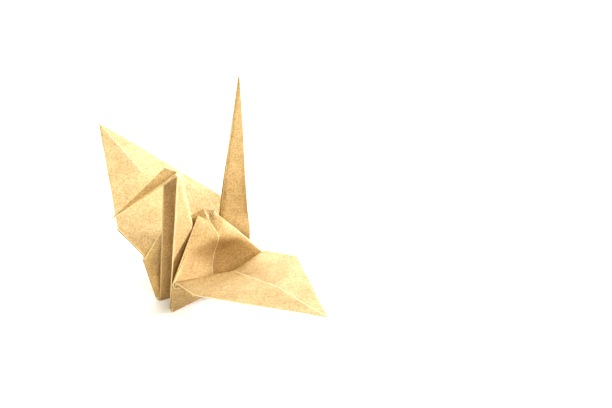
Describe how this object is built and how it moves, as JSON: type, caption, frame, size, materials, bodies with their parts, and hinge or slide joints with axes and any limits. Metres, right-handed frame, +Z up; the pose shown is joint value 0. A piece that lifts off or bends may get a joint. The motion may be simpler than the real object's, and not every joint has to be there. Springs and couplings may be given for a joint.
{
  "type": "origami bird",
  "caption": "Traditional paper crane folded from one square sheet, with a neck and beak, an upright tail and two open wings, standing on its body.",
  "frame": {"origin": "on the table, under the middle of the crane's length and wing span", "axes": "+X from the beak towards the tail, +Y from the near wing towards the far wing, +Z up"},
  "size_m": [0.057, 0.1394, 0.0769],
  "materials": {
    "kraft_paper": "matt"
  },
  "bodies": {
    "root": {"paper_crane": "kraft_paper"}
  },
  "joints": []
}
